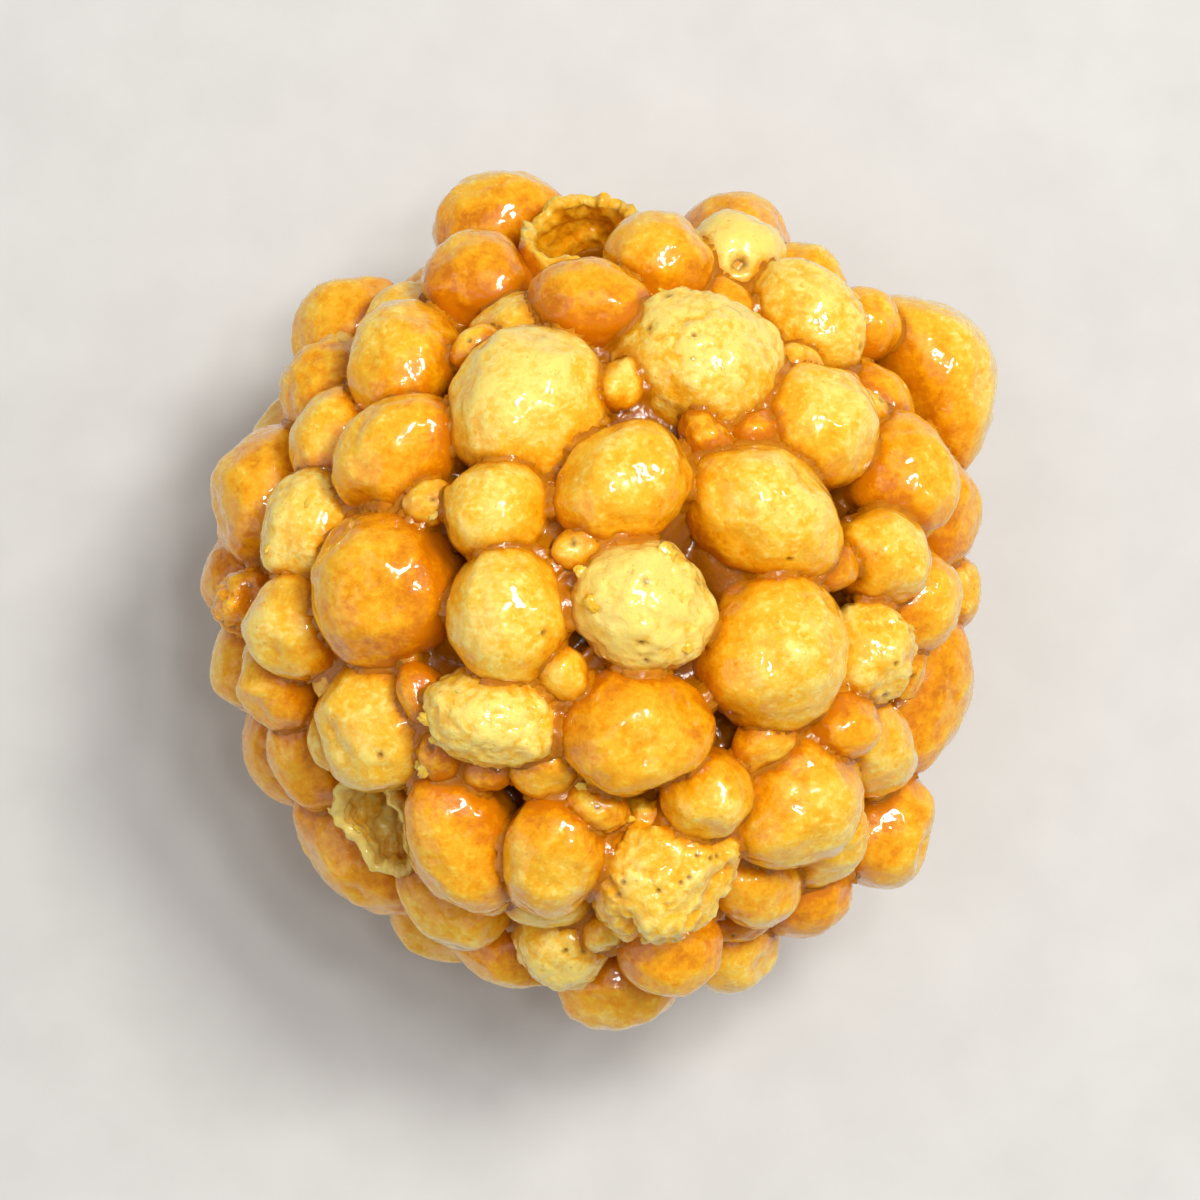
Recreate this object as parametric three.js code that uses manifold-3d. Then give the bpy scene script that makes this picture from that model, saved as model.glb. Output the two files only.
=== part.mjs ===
// A jaggery ladoo: a ball of fried gram-flour drops, the boondi, pressed by hand in warm jaggery
// syrup, which sticks them together. It is one solid. A core of syrup and hidden boondi carries
// every boondi that shows, each at its true size with few sides.
// Millimetres, +Z up. The ladoo rests at z = 0 on the flattened undersides of its lowest boondi.
import * as THREE from "three";
import { mergeVertices } from "three/addons/utils/BufferGeometryUtils.js";
import Module from "manifold-3d";

// The ball, measured over its boondi.
const WIDTH = 47; // along X
const LENGTH = 50; // along Y
const HEIGHT = 45; // along Z, from the foot to the top
const FOOT_DEPTH = 2.3; // how far the resting side is pressed flat
const CORE_DEPTH = 4; // from the outside of the ball down to the core between the boondi
const MIDDLE_AT = [-0.46, -0.38]; // of the ball, which is fuller towards +X and +Y

// Where the hand left the ball fuller or flatter than an ellipsoid. rise is a share of the radius,
// and spread is the size of the place, in radians.
const LUMPS = [
  { toward: [0.82, 0.57, 0.06], rise: 0.11, spread: 0.5 },
  { toward: [0.15, 0.98, 0.12], rise: 0.05, spread: 0.4 },
  { toward: [-0.97, 0.2, -0.14], rise: 0.05, spread: 0.5 },
  { toward: [-0.66, -0.72, 0.2], rise: -0.05, spread: 0.4 },
  { toward: [0.3, -0.5, -0.81], rise: 0.04, spread: 0.5 },
];

// The boondi placed by a rule: usual widths, and the small ones that fill what gaps are left.
const BOONDI_WIDTHS = { least: 6.0, most: 8.6 };
const BOONDI_DEPTH = 1.2; // how far the outside of one may be below the ball's
const FILLER_WIDTHS = { least: 4.2, most: 6.2, step: 0.4 };
const FILLER_DEPTHS = [0.8, 1.8, 2.8]; // the same for a small one
const SQUEEZE = 0.9; // share of a boondi's width that it keeps from a neighbour pressed against it
const FILLER_SQUEEZE = 0.8; // the same for the small ones, which are wedged in
const PLACES = 1800; // how many places on the ball the rule tries for each boondi
const MOST_BOONDI = 90; // more than fit, so that the ball fills up
const SEED = 45;

// The boondi that catch the eye from above: where the middle is, the length and the width that
// show between their neighbours, and the way that the length points, in degrees from +X.
const SHOWS = 0.92; // share of a landmark's size that shows
const LANDMARKS = [
  { at: [-3.5, 10.5], long: 9.3, wide: 8.6, turn: 75 },
  { at: [6.1, 12.9], long: 9.3, wide: 8.1, turn: -15 },
  { at: [12.9, 9.5], long: 7.0, wide: 6.8, turn: 0 },
  { at: [17.9, 7.1], long: 7.5, wide: 6.3, turn: 60 },
  { at: [1.7, 5.8], long: 7.6, wide: 6.4, turn: 38 },
  { at: [9.8, 4.4], long: 9.3, wide: 6.9, turn: -18 },
  { at: [-4.7, -1.3], long: 7.6, wide: 6.4, turn: 90 },
  { at: [2.9, -1.0], long: 7.6, wide: 6.9, turn: 130 },
  { at: [10.3, -3.2], long: 8.8, wide: 8.1, turn: 70 },
  { at: [18.1, -5.0], long: 10.5, wide: 8.1, turn: 72 },
  { at: [-11.6, 0.2], long: 8.8, wide: 8.2, turn: 50 },
  { at: [-18.5, 6.1], long: 8.4, wide: 7.5, turn: 100 },
  { at: [-11.1, 8.0], long: 7.8, wide: 5.7, turn: 25 },
  { at: [-5.7, -7.2], long: 7.3, wide: 5.2, turn: -10 },
  { at: [2.6, -7.9], long: 8.1, wide: 6.8, turn: 0 },
  { at: [-7.2, -14.0], long: 9.3, wide: 6.1, turn: 95 },
  { at: [-2.3, -15.0], long: 7.9, wide: 5.6, turn: 80 },
  { at: [3.9, -15.3], long: 8.4, wide: 7.9, turn: 20 },
  { at: [11.2, -11.6], long: 8.2, wide: 7.6, turn: 30 },
  { at: [17.1, -13.1], long: 6.9, wide: 6.4, turn: 30 },
  { at: [1.4, -21.9], long: 7.2, wide: 6.3, turn: 0 },
  { at: [-13.3, -14.0], long: 9.7, wide: 6.6, turn: 105, form: "broken" },
  { at: [-14.3, 16.4], long: 7.4, wide: 6.4, turn: 20 },
  { at: [-5.5, 23.0], long: 7.6, wide: 5.9, turn: 10 },
  { at: [8.5, 21.8], long: 6.4, wide: 5.9, turn: -30, form: "pierced" },
  { at: [12.5, 16.4], long: 7.4, wide: 5.7, turn: -65 },
  { at: [19.6, 13.9], long: 11.5, wide: 8.0, turn: -55, form: "bent" },
];
const FOOT_LANDMARK = { long: 7.6, wide: 7.0, turn: 15 }; // under the middle, where the ball rests
const BROKEN_SHARE = 0.05; // of the boondi placed by the rule
const BENT_SHARE = 0.12;

// Forms of a boondi. A share is of its own size that way.
const STRETCH = 0.26; // the most that one placed by the rule is longer and narrower than a ball
const THICKNESS = 1.05; // out of the ball, as a share of its width
const UNEVEN = 0.05; // how far its skin strays from an ellipsoid
const BEND = 0.16; // how far the ends of a bent one curve, as a share of its length
const SHELL_WALL = 1.2; // of a broken one, which is hollow
const MOUTH_LIFT = 0.31; // how far the hollow of a broken one is from its middle, as a share
const HOLE = { width: 0.34, aside: 0.2 }; // of a pierced one, as shares
const FEW_SIDES_UNDER = 5.6; // boondi smaller than this have 20 sides, and the others 80
const SEAM = 0.12; // slivers thinner than this, where boondi meet, are smoothed away

const HALF = new THREE.Vector3(WIDTH, LENGTH, HEIGHT + FOOT_DEPTH).divideScalar(2);
const MIDDLE = new THREE.Vector3(...MIDDLE_AT, HALF.z - FOOT_DEPTH);
const GOLDEN_ANGLE = Math.PI * (3 - Math.sqrt(5));
const DEGREE = Math.PI / 180;

const wasm = await Module();
wasm.setup();

// The same numbers in the same order for a seed, each from 0 to 1.
function randomFrom(seed) {
  let state = seed;
  return () => {
    state = (state * 1664525 + 1013904223) % 4294967296;
    return state / 4294967296;
  };
}

// How far the outside of the ball is from its middle, the way the unit vector d points.
function ballRadius(d) {
  const even = 1 / Math.hypot(d.x / HALF.x, d.y / HALF.y, d.z / HALF.z);
  let share = 1;
  for (const { toward, rise, spread } of LUMPS) {
    const away = d.angleTo(new THREE.Vector3(...toward));
    share += rise * Math.exp(-((away / spread) ** 2));
  }
  return even * share;
}

// Even places all over the ball, from top to bottom, as unit vectors.
function placesOnBall(count) {
  return Array.from({ length: count }, (_, i) => {
    const z = 1 - (2 * i + 1) / count;
    const across = Math.sqrt(1 - z * z);
    const angle = i * GOLDEN_ANGLE;
    return new THREE.Vector3(across * Math.cos(angle), across * Math.sin(angle), z);
  });
}

// The middle of a boondi that is seen from above at x and y, its outside level with the ball's.
function middleUnder(x, y, half) {
  const found = new THREE.Vector3(x, y, HALF.z / 2);
  for (let tries = 0; tries < 12; tries++) {
    const reach = ballRadius(found.clone().normalize()) - half;
    found.z = Math.sqrt(Math.max(0, reach * reach - x * x - y * y));
  }
  return found;
}

// Half the size of a boondi, as a ball of about its bulk.
const halfOf = ({ long, wide }) => (long + wide) / 4;

// The landmarks, and the one that the ladoo rests on.
function landmarkBoondi() {
  const seen = LANDMARKS.map((mark) => ({
    ...mark,
    long: mark.long / SHOWS,
    wide: mark.wide / SHOWS,
    middle: middleUnder(mark.at[0], mark.at[1], halfOf(mark) / SHOWS),
  }));
  const foot = new THREE.Vector3(0, 0, halfOf(FOOT_LANDMARK) - HALF.z);
  return [...seen, { ...FOOT_LANDMARK, middle: foot }];
}

// How loose a boondi of this half size would be at a place, from its two nearest neighbours, or
// Infinity where it doesn't fit.
function looseness(middle, half, squeeze, boondi) {
  let nearest = Infinity;
  let second = Infinity;
  for (const other of boondi) {
    const gap = middle.distanceTo(other.middle) - squeeze * (half + halfOf(other));
    if (gap < 0) return Infinity;
    second = Math.min(second, Math.max(nearest, gap));
    nearest = Math.min(nearest, gap);
  }
  return nearest + second;
}

// The place where a boondi of this half size fits tightest between those that are there, at one
// of these depths below the outside of the ball, or null where it fits nowhere.
function tightestPlace(places, { depths, squeeze }, half, boondi) {
  let best = null;
  let least = Infinity;
  for (const depth of depths) {
    for (const d of places) {
      const middle = d.clone().multiplyScalar(ballRadius(d) - half - depth);
      const loose = looseness(middle, half, squeeze, boondi) + depth;
      if (loose < least) {
        least = loose;
        best = middle;
      }
    }
  }
  return best;
}

// Every boondi that shows: the landmarks, then usual ones pressed in beside them until no more
// fit, then smaller ones in the gaps, the largest first.
function allBoondi() {
  const random = randomFrom(SEED);
  const between = (least, most) => least + (most - least) * random();
  const boondi = landmarkBoondi();
  const places = placesOnBall(PLACES);

  function press(width, fit) {
    const stretch = STRETCH * random() ** 2;
    const turn = between(0, 180);
    const luck = random();
    const middle = tightestPlace(places, fit, width / 2, boondi);
    if (!middle) return false;
    const form = luck < BROKEN_SHARE ? "broken" : luck > 1 - BENT_SHARE ? "bent" : "whole";
    boondi.push({ middle, long: width * (1 + stretch), wide: width * (1 - stretch), turn, form });
    return true;
  }

  for (let i = 0; i < MOST_BOONDI; i++) {
    const width = between(BOONDI_WIDTHS.least, BOONDI_WIDTHS.most);
    press(width, { depths: [between(0, BOONDI_DEPTH)], squeeze: SQUEEZE });
  }
  for (let width = FILLER_WIDTHS.most; width > FILLER_WIDTHS.least; width -= FILLER_WIDTHS.step) {
    while (press(width, { depths: FILLER_DEPTHS, squeeze: FILLER_SQUEEZE }));
  }
  return boondi;
}

// A closed geometry as a solid that can be cut and joined.
function solidOf(geometry) {
  const bare = geometry.clone().deleteAttribute("normal").deleteAttribute("uv");
  const merged = mergeVertices(bare, 1e-4);
  return new wasm.Manifold(
    new wasm.Mesh({
      numProp: 3,
      vertProperties: merged.attributes.position.array,
      triVerts: new Uint32Array(merged.index.array),
    }),
  );
}

// Moves every vertex of a geometry by a function of its place.
function reshaped(geometry, move) {
  const { position } = geometry.attributes;
  const v = new THREE.Vector3();
  for (let i = 0; i < position.count; i++) {
    move(v.fromBufferAttribute(position, i));
    position.setXYZ(i, v.x, v.y, v.z);
  }
  return geometry;
}

// A boondi about its own middle: its length along X, its width along Y, and out of the ball +Z.
function boondiSolid({ long, wide, form }, phase) {
  const thick = Math.min(long, THICKNESS * wide);
  const detail = (long + wide) / 2 < FEW_SIDES_UNDER ? 0 : 1;
  const skin = reshaped(new THREE.IcosahedronGeometry(0.5, detail), (v) => {
    const swell = 1 + UNEVEN * Math.sin(5 * v.x + 4 * v.y + phase) * Math.cos(4 * v.z - phase);
    v.multiply(new THREE.Vector3(long, wide, thick)).multiplyScalar(swell);
    if (form === "bent") v.y += BEND * long * ((2 * v.x) / long) ** 2 - (BEND * long) / 3;
  });
  const whole = solidOf(skin);
  if (form === "broken") {
    const hollow = new THREE.IcosahedronGeometry(0.5, 1);
    hollow.scale(long - 2 * SHELL_WALL, wide - 2 * SHELL_WALL, thick - SHELL_WALL);
    hollow.translate(0, 0, MOUTH_LIFT * thick);
    return whole.subtract(solidOf(hollow));
  }
  if (form === "pierced") {
    const hole = new THREE.IcosahedronGeometry((HOLE.width * wide) / 2, 0);
    hole.translate(-HOLE.aside * wide, 0, thick / 2);
    return whole.subtract(solidOf(hole));
  }
  return whole;
}

// A boondi in its place on the ball, with its length turned from +X as seen from outside.
function placed(boondi, index) {
  const out = boondi.middle.clone().normalize();
  const along = new THREE.Vector3(Math.cos(boondi.turn * DEGREE), Math.sin(boondi.turn * DEGREE), 0);
  const across = new THREE.Vector3().crossVectors(out, along).normalize();
  const length = new THREE.Vector3().crossVectors(across, out);
  const place = new THREE.Matrix4().makeBasis(length, across, out).setPosition(boondi.middle);
  return boondiSolid(boondi, index).transform(place.elements);
}

// What the boondi that show are stuck to.
function coreSolid() {
  const skin = reshaped(new THREE.IcosahedronGeometry(1, 4), (v) => {
    v.normalize();
    v.multiplyScalar(ballRadius(v) - CORE_DEPTH);
  });
  return solidOf(skin);
}

// What lies below the foot.
function underFoot() {
  const side = 2 * Math.max(WIDTH, LENGTH);
  const slab = new THREE.BoxGeometry(side, side, side);
  slab.translate(0, 0, -side / 2 - MIDDLE.z);
  return solidOf(slab);
}

// The outer skin alone, so that pockets shut in between boondi are filled.
function withoutPockets(solid) {
  const bodies = solid.decompose();
  return bodies.reduce((a, b) => (a.volume() > b.volume() ? a : b));
}

// A solid as a geometry that can be drawn.
function geometryOf(solid) {
  const { vertProperties, triVerts } = solid.getMesh();
  const geometry = new THREE.BufferGeometry();
  geometry.setAttribute("position", new THREE.BufferAttribute(vertProperties, 3));
  geometry.setIndex(new THREE.BufferAttribute(triVerts, 1));
  geometry.computeVertexNormals();
  return geometry;
}

function ladooGeometry() {
  const stuck = wasm.Manifold.union([coreSolid(), ...allBoondi().map(placed)]);
  const smoothed = stuck.asOriginal().simplify(SEAM);
  return geometryOf(withoutPockets(smoothed.subtract(underFoot())));
}

const material = new THREE.MeshStandardMaterial({
  name: "boondi_in_jaggery",
  color: 0xd98a1c,
  roughness: 0.3,
  metalness: 0,
});

const ladoo = new THREE.Mesh(ladooGeometry(), material);
ladoo.name = "ladoo";
ladoo.position.copy(MIDDLE);

const part = new THREE.Group();
part.add(ladoo);
export default part;
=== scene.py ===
"""A jaggery ladoo: fried gram-flour drops, the boondi, pressed into a ball in jaggery syrup.

Every boondi is a mesh of its own form, with the dents, pits and crust that show. Under them lie
more boondi and a core, and the syrup fills the creases between them.
Sizes are in millimetres from the ball's middle, and meshes are made in metres from its foot.
"""
import math

import bmesh
import bpy
import numpy as np
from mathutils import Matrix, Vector
from mathutils.bvhtree import BVHTree


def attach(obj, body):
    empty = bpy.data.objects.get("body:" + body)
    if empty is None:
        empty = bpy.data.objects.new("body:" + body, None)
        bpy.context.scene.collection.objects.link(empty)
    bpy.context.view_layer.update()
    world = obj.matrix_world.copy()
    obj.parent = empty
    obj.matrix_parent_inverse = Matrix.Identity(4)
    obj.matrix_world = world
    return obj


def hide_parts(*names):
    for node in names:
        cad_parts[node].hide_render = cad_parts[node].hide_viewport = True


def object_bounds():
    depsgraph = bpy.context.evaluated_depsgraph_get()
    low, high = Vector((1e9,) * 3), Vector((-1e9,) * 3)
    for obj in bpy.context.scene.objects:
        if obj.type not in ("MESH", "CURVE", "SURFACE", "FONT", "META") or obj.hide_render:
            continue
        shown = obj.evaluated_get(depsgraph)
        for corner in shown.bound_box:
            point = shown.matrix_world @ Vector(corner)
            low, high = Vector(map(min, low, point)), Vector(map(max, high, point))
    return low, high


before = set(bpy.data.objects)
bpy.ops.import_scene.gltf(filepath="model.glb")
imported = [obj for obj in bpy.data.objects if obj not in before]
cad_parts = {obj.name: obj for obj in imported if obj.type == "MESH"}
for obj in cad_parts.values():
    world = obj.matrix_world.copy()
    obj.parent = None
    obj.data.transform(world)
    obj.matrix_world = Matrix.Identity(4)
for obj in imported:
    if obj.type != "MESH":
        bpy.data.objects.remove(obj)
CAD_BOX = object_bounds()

MM = 0.001

# ---------------------------------------------------------------- the ball and its boondi

WIDTH = 47.0  # along X
LENGTH = 50.0  # along Y
HEIGHT = 45.0  # along Z, from the foot to the top
FOOT_DEPTH = 2.3  # how far the resting side is pressed flat
MIDDLE_AT = (-0.46, -0.38)  # of the ball, which is fuller towards +X and +Y

# Where the hand left the ball fuller or flatter than an ellipsoid: the way to it, the rise as a
# share of the radius, and the size of the place in radians.
LUMPS = (
    ((0.82, 0.57, 0.06), 0.11, 0.5),
    ((0.15, 0.98, 0.12), 0.05, 0.4),
    ((-0.97, 0.2, -0.14), 0.05, 0.5),
    ((-0.66, -0.72, 0.2), -0.05, 0.4),
    ((0.3, -0.5, -0.81), 0.04, 0.5),
)

# The boondi placed by a rule: widths, and how far their outsides are below the ball's.
BOONDI_WIDTHS = (6.0, 8.6)
BOONDI_DEPTH = 1.2
FILLER_WIDTHS = (4.2, 6.2, 0.4)  # the least, the first and the step between them
FILLER_DEPTHS = (0.8, 1.8, 2.8)
SQUEEZE = 0.9
FILLER_SQUEEZE = 0.8
PLACES = 1800
MOST_BOONDI = 90
SEED = 45
CRUSTS_BELOW = 6.0  # above this only the placed boondi are crusty
STRETCH = 0.26
THICKNESS = 1.05
BEND = 0.16
BROKEN_SHARE = 0.05
BENT_SHARE = 0.12
ROUGH_SHARES = (0.14, 0.25, 0.3)  # crusty up to the first, then dry, then crumbly
TINTS = (0.28, 0.32)  # the least tint and how much more it can be
ROUGH_PALER = 0.15
BIT_DRY_SHARE = 0.35
BIT_TINTS = (0.15, 0.5)
COVERS = 0.7  # how near one above another shows in its place, as a share of the half size
# The small bits in the gaps that are left: the first width, the least and the step between them.
BIT_WIDTHS = (4.6, 2.6, 0.4)
BIT_DEPTHS = (2.2, 3.2)
BIT_SQUEEZE = 0.8
OPEN_ROOM = 1.5  # that a broken boondi keeps free of bits, as a share of its half size

# The boondi that catch the eye from above: middle, length and width that show, the way that the
# length points in degrees from +X, and the look. tint runs from deep amber to pale yellow.
SHOWS = 0.92  # of a boondi's width, as its neighbours hide the rest
LANDMARKS = (
    (-3.5, 10.5, 9.3, 8.6, 75, "glazed", 0.72),
    (6.1, 12.9, 9.3, 8.1, -15, "crusty", 0.74),
    (12.9, 9.5, 7.0, 6.8, 0, "glazed", 0.62),
    (17.9, 7.1, 7.5, 6.3, 60, "glazed", 0.42),
    (1.7, 5.8, 7.6, 6.4, 38, "glazed", 0.5),
    (9.8, 4.4, 9.3, 6.9, -18, "glazed", 0.6),
    (-4.7, -1.3, 7.6, 6.4, 90, "glazed", 0.6),
    (2.9, -1.0, 7.6, 6.9, 130, "crusty", 0.86),
    (10.3, -3.2, 8.8, 8.1, 70, "glazed", 0.58),
    (18.1, -5.0, 10.5, 8.1, 72, "crusty", 0.66),
    (-11.6, 0.2, 8.8, 8.2, 50, "glazed", 0.3),
    (-18.5, 6.1, 8.4, 7.5, 100, "dry", 0.72),
    (-11.1, 8.0, 7.8, 5.7, 25, "glazed", 0.44),
    (-5.7, -7.2, 7.3, 5.2, -10, "crusty", 0.78),
    (2.6, -7.9, 8.1, 6.8, 0, "glazed", 0.38),
    (-7.2, -14.0, 9.3, 6.1, 95, "glazed", 0.36),
    (-2.3, -15.0, 7.9, 5.6, 80, "glazed", 0.46),
    (3.9, -15.3, 8.4, 7.9, 20, "crumbly", 0.62),
    (11.2, -11.6, 8.2, 7.6, 30, "glazed", 0.5),
    (17.1, -13.1, 6.9, 6.4, 30, "glazed", 0.5),
    (1.4, -21.9, 7.2, 6.3, 0, "glazed", 0.48),
    (-13.3, -14.0, 9.7, 6.6, 105, "broken", 0.7),
    (-14.3, 16.4, 7.4, 6.4, 20, "glazed", 0.5),
    (-5.5, 23.0, 7.6, 5.9, 10, "glazed", 0.5),
    (8.5, 21.8, 6.4, 5.9, -30, "pierced", 0.95),
    (12.5, 16.4, 7.4, 5.7, -65, "dry", 0.7),
    (19.6, 13.9, 11.5, 8.0, -55, "curled", 0.64),
)
FOOT_LANDMARK = (7.6, 7.0, 15)  # length, width and turn of the one that the ladoo rests on

HALF = np.array([WIDTH, LENGTH, HEIGHT + FOOT_DEPTH]) / 2
MIDDLE = np.array([*MIDDLE_AT, HALF[2] - FOOT_DEPTH])
GOLDEN_ANGLE = math.pi * (3 - math.sqrt(5))


def random_from(seed):
    """The same numbers in the same order for a seed, each from 0 to 1."""
    state = seed

    def draw():
        nonlocal state
        state = (state * 1664525 + 1013904223) % 4294967296
        return state / 4294967296

    return draw


def ball_radius(ways):
    """How far the outside of the ball is from its middle, along unit vectors."""
    even = 1 / np.linalg.norm(ways / HALF, axis=-1)
    share = np.ones(ways.shape[:-1])
    for toward, rise, spread in LUMPS:
        toward = np.array(toward) / np.linalg.norm(toward)
        away = np.arccos(np.clip(ways @ toward, -1, 1))
        share = share + rise * np.exp(-((away / spread) ** 2))
    return even * share


def places_on_ball(count):
    """Even places all over the ball, from top to bottom, as unit vectors."""
    i = np.arange(count)
    z = 1 - (2 * i + 1) / count
    across = np.sqrt(1 - z * z)
    angle = i * GOLDEN_ANGLE
    return np.stack([across * np.cos(angle), across * np.sin(angle), z], axis=1)


def middle_under(x, y, half):
    """The middle of a boondi seen from above at x and y, its outside level with the ball's."""
    z = HALF[2] / 2
    for _ in range(12):
        found = np.array([x, y, z])
        reach = ball_radius(found / np.linalg.norm(found)) - half
        z = math.sqrt(max(0.0, reach * reach - x * x - y * y))
    return np.array([x, y, z])


class Boondi:
    """One boondi: where it is, its size, how it lies and what it looks like."""

    def __init__(self, middle, long, wide, turn, look, tint):
        self.middle = np.asarray(middle, dtype=float)
        self.long = long
        self.wide = wide
        self.look = look
        self.tint = tint
        self.half = (long + wide) / 4
        thick = min(long, THICKNESS * wide)
        self.radii = np.array([long, wide, thick]) / 2
        out = self.middle / np.linalg.norm(self.middle)
        along = np.array([math.cos(math.radians(turn)), math.sin(math.radians(turn)), 0])
        across = np.cross(out, along)
        across /= np.linalg.norm(across)
        # Rows: its length, its width, and out of the ball.
        self.axes = np.array([np.cross(across, out), across, out])

    def distance(self, points):
        """About how far points are outside this boondi, less than 0 inside."""
        local = (points - self.middle) @ self.axes.T
        scaled = np.maximum(np.linalg.norm(local / self.radii, axis=1), 1e-6)
        return (scaled - 1) * np.linalg.norm(local, axis=1) / scaled


def landmark_boondi():
    boondi = []
    for x, y, long, wide, turn, look, tint in LANDMARKS:
        long, wide = long / SHOWS, wide / SHOWS
        boondi.append(Boondi(middle_under(x, y, (long + wide) / 4), long, wide, turn, look, tint))
    long, wide, turn = FOOT_LANDMARK
    foot = (0, 0, (long + wide) / 4 - HALF[2])
    return [*boondi, Boondi(foot, long, wide, turn, "glazed", 0.45)]


def tightest_place(places, reaches, depths, squeeze, half, middles, halves):
    """Where a boondi of this half size fits tightest between the others, or None."""
    best = None
    least = math.inf
    for depth in depths:
        candidates = places * (reaches - half - depth)[:, None]
        away = np.linalg.norm(candidates[:, None] - middles[None], axis=2)
        gaps = np.sort(away - squeeze * (half + halves)[None], axis=1)
        loose = np.where(gaps[:, 0] < 0, math.inf, gaps[:, 0] + gaps[:, 1]) + depth
        tightest = int(np.argmin(loose))
        if loose[tightest] < least:
            least = loose[tightest]
            best = candidates[tightest]
    return best


def outer_boondi():
    """Every boondi of the outer layer: landmarks, usual ones, then small ones in the gaps.

    Where one lies over a landmark of the ball's side, the two change looks, so that it shows.
    """
    random = random_from(SEED)
    taste = random_from(SEED + 1)
    boondi = landmark_boondi()
    places = places_on_ball(PLACES)
    reaches = ball_radius(places)

    def press(width, depths, squeeze):
        stretch = STRETCH * random() ** 2
        turn = 180 * random()
        luck = random()
        middles = np.array([b.middle for b in boondi])
        halves = np.array([b.half for b in boondi])
        middle = tightest_place(places, reaches, depths, squeeze, width / 2, middles, halves)
        if middle is None:
            return False
        look = "broken" if luck < BROKEN_SHARE else "bent" if luck > 1 - BENT_SHARE else "glazed"
        crust = taste()
        crusty, dry, crumbly = ROUGH_SHARES
        if look == "glazed" and crust < crumbly and middle[2] < CRUSTS_BELOW:
            look = "crusty" if crust < crusty else "dry" if crust < dry else "crumbly"
        tint = TINTS[0] + TINTS[1] * taste() + (ROUGH_PALER if look in ("crusty", "dry") else 0)
        long, wide = width * (1 + stretch), width * (1 - stretch)
        boondi.append(Boondi(middle, long, wide, turn, look, tint))
        return True

    least, most = BOONDI_WIDTHS
    for _ in range(MOST_BOONDI):
        width = least + (most - least) * random()
        press(width, [BOONDI_DEPTH * random()], SQUEEZE)
    least, width, step = FILLER_WIDTHS
    while width > least:
        while press(width, FILLER_DEPTHS, FILLER_SQUEEZE):
            pass
        width -= step
    for placed in boondi[: len(LANDMARKS)]:
        for other in boondi[len(LANDMARKS) + 1 :]:
            apart = np.linalg.norm((other.middle - placed.middle)[:2])
            if other.middle[2] > placed.middle[2] and apart < COVERS * placed.half:
                placed.look, other.look = other.look, placed.look
                placed.tint, other.tint = other.tint, placed.tint
    return boondi


def bits_between(boondi):
    """Small bits of boondi in the gaps that the others leave."""
    random = random_from(SEED + 4)
    places = places_on_ball(PLACES)
    reaches = ball_radius(places)
    bits = []
    width, least, step = BIT_WIDTHS
    while width > least:
        middles = np.array([b.middle for b in boondi + bits])
        halves = np.array(
            [b.half * (OPEN_ROOM if b.look == "broken" else 1) for b in boondi + bits]
        )
        middle = tightest_place(places, reaches, BIT_DEPTHS, BIT_SQUEEZE, width / 2, middles, halves)
        if middle is None:
            width -= step
            continue
        look = "dry" if random() < BIT_DRY_SHARE else "glazed"
        tint = BIT_TINTS[0] + BIT_TINTS[1] * random()
        bits.append(Boondi(middle, 1.15 * width, 0.85 * width, 180 * random(), look, tint))
    return bits


def inner_boondi(count, depth, size):
    """The layer under the outer one, which shows in the gaps."""
    random = random_from(SEED + 2)
    boondi = []
    for way in places_on_ball(count):
        way = way + np.array([random() - 0.5, random() - 0.5, random() - 0.5]) * 0.16
        way /= np.linalg.norm(way)
        wide = size * (0.85 + 0.3 * random())
        reach = ball_radius(way) - depth - wide / 2 - 0.8 * random()
        boondi.append(Boondi(way * reach, wide * 1.08, wide, 180 * random(), "glazed", 0.1))
    return boondi


# ---------------------------------------------------------------- noise


def lattice_hash(cells, seed):
    """A whole number for each lattice cell, the same each time."""
    x, y, z = (cells[:, i].astype(np.uint64) for i in range(3))
    mixed = x * np.uint64(73856093) ^ y * np.uint64(19349663) ^ z * np.uint64(83492791)
    mixed = (mixed ^ np.uint64(seed * 2654435761 % 4294967296)) & np.uint64(0xFFFFFFFF)
    mixed = (mixed ^ (mixed >> np.uint64(13))) * np.uint64(1274126177) & np.uint64(0xFFFFFFFF)
    return mixed ^ (mixed >> np.uint64(16))


def hash_vectors(hashed):
    """Three numbers from -1 to 1 for each hash."""
    parts = [(hashed >> np.uint64(s)) & np.uint64(1023) for s in (0, 10, 20)]
    return np.stack(parts, axis=1) / 511.5 - 1


def noise(points, seed=0):
    """Smooth noise, about -1 to 1, with one feature to a unit."""
    cells = np.floor(points).astype(np.int64)
    inside = points - cells
    fade = inside**3 * (inside * (inside * 6 - 15) + 10)
    total = np.zeros(len(points))
    for corner in np.ndindex(2, 2, 2):
        slopes = hash_vectors(lattice_hash(cells + corner + 4096, seed))
        weight = np.prod(np.where(corner, fade, 1 - fade), axis=1)
        total += weight * np.sum(slopes * (inside - corner), axis=1)
    return 1.6 * total


def cell_noise(points, seed=0):
    """Distances to the nearest and the second nearest of one scattered point to a unit cell."""
    cells = np.floor(points).astype(np.int64)
    first = np.full(len(points), 9.0)
    second = np.full(len(points), 9.0)
    for step in np.ndindex(3, 3, 3):
        cell = cells + np.array(step) - 1
        spot = cell + 0.5 + 0.45 * hash_vectors(lattice_hash(cell + 4096, seed))
        away = np.linalg.norm(points - spot, axis=1)
        second = np.minimum(second, np.maximum(first, away))
        first = np.minimum(first, away)
    return first, second


def smoothstep(low, high, value):
    t = np.clip((value - low) / (high - low), 0, 1)
    return t * t * (3 - 2 * t)


def smooth_least(a, b, width):
    """The lesser of two values, rounded where they are close."""
    share = np.clip(0.5 + (b - a) / (2 * width), 0, 1)
    return b * (1 - share) + a * share - width * share * (1 - share)


# ---------------------------------------------------------------- the form of a boondi

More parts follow.
